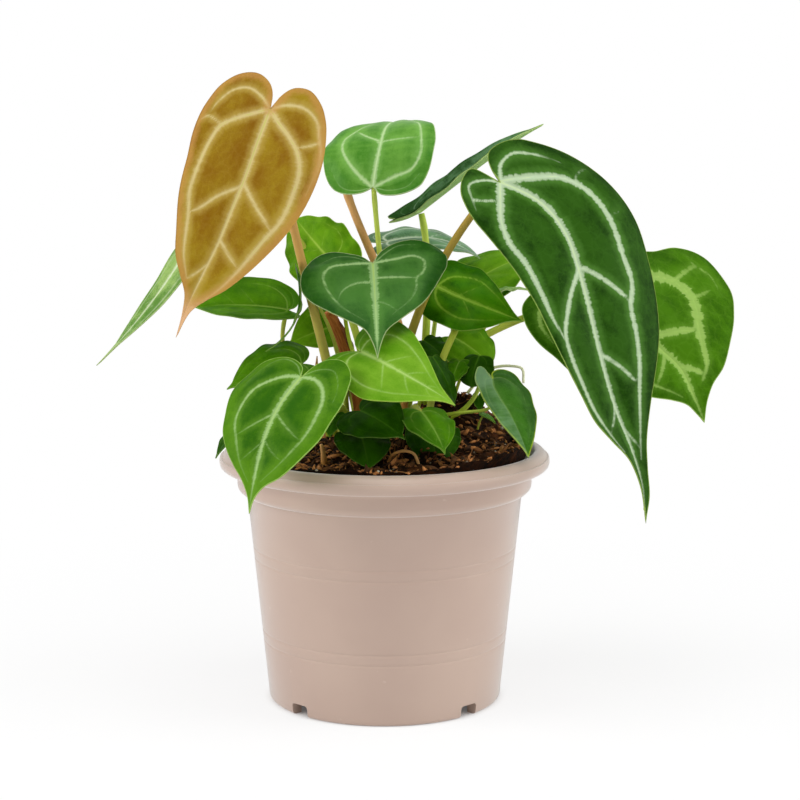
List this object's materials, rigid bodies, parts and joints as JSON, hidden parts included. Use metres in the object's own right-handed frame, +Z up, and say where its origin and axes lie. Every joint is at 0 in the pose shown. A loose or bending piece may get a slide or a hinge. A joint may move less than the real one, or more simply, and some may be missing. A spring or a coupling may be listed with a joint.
{
  "type": "potted anthurium",
  "caption": "Potted anthurium house plant: heart-shaped veined leaves on long stalks in potting mix, in a round plastic nursery pot with a rolled rim.",
  "frame": {"origin": "on the surface the pot stands on, under the middle of the whole plant's bounding box; the pot's own axis stands 11.9 mm to its left and 7.7 mm behind it", "axes": "+Z up, -Y is the front that the leaves face, +X to the right seen from the front"},
  "size_m": [0.232, 0.1352, 0.2255],
  "materials": {
    "pot_plastic": "satin",
    "potting_mix": "matte",
    "stem_bark": "matte",
    "sheath_paper": "matte",
    "leaf_bronze_tissue": "satin",
    "leaf_lime_tissue": "satin",
    "leaf_dark_tissue": "satin",
    "leaf_mid_tissue": "satin",
    "leaf_blue_tissue": "satin",
    "stalk_olive_tissue": "satin",
    "stalk_pale_tissue": "satin",
    "stalk_brown_tissue": "satin"
  },
  "bodies": {
    "root": {"pot": "pot_plastic", "soil": "potting_mix", "stem": "stem_bark", "sheath": "sheath_paper", "leaf_bronze": "leaf_bronze_tissue", "leaf_left_back": "leaf_lime_tissue", "leaf_top": "leaf_mid_tissue", "leaf_upper_right": "leaf_blue_tissue", "leaf_large_right": "leaf_dark_tissue", "leaf_right_back": "leaf_mid_tissue", "leaf_heart": "leaf_dark_tissue", "leaf_bright_left": "leaf_mid_tissue", "leaf_back_arched": "leaf_blue_tissue", "leaf_mid_right": "leaf_mid_tissue", "leaf_lime_back": "leaf_lime_tissue", "leaf_narrow_back": "leaf_mid_tissue", "leaf_left": "leaf_mid_tissue", "leaf_left_slender": "leaf_dark_tissue", "leaf_pale_left": "leaf_lime_tissue", "leaf_left_low": "leaf_mid_tissue", "leaf_front_left": "leaf_mid_tissue", "leaf_lime_front": "leaf_lime_tissue", "leaf_low_dark": "leaf_dark_tissue", "leaf_low_under": "leaf_mid_tissue", "leaf_low_small": "leaf_mid_tissue", "leaf_low_round": "leaf_dark_tissue", "leaf_right_slender": "leaf_dark_tissue", "leaf_right_low": "leaf_mid_tissue", "leaf_right_inner": "leaf_dark_tissue", "leaf_right_cupped": "leaf_dark_tissue", "leaf_right_tiny": "leaf_mid_tissue", "leaf_front_right": "leaf_blue_tissue", "leaf_rim_left": "leaf_mid_tissue", "leaf_low_left": "leaf_dark_tissue", "leaf_young": "leaf_bronze_tissue", "stalk_bronze": "stalk_brown_tissue", "stalk_left_back": "stalk_olive_tissue", "stalk_top": "stalk_pale_tissue", "stalk_upper_right": "stalk_pale_tissue", "stalk_large_right": "stalk_olive_tissue", "stalk_right_back": "stalk_olive_tissue", "stalk_heart": "stalk_olive_tissue", "stalk_bright_left": "stalk_pale_tissue", "stalk_back_arched": "stalk_olive_tissue", "stalk_mid_right": "stalk_olive_tissue", "stalk_lime_back": "stalk_olive_tissue", "stalk_narrow_back": "stalk_olive_tissue", "stalk_left": "stalk_olive_tissue", "stalk_left_slender": "stalk_olive_tissue", "stalk_pale_left": "stalk_olive_tissue", "stalk_left_low": "stalk_olive_tissue", "stalk_front_left": "stalk_olive_tissue", "stalk_lime_front": "stalk_olive_tissue", "stalk_right_slender": "stalk_olive_tissue", "stalk_right_low": "stalk_olive_tissue", "stalk_front_right": "stalk_olive_tissue", "stalk_rim_left": "stalk_olive_tissue", "stalk_young": "stalk_brown_tissue"}
  },
  "joints": []
}
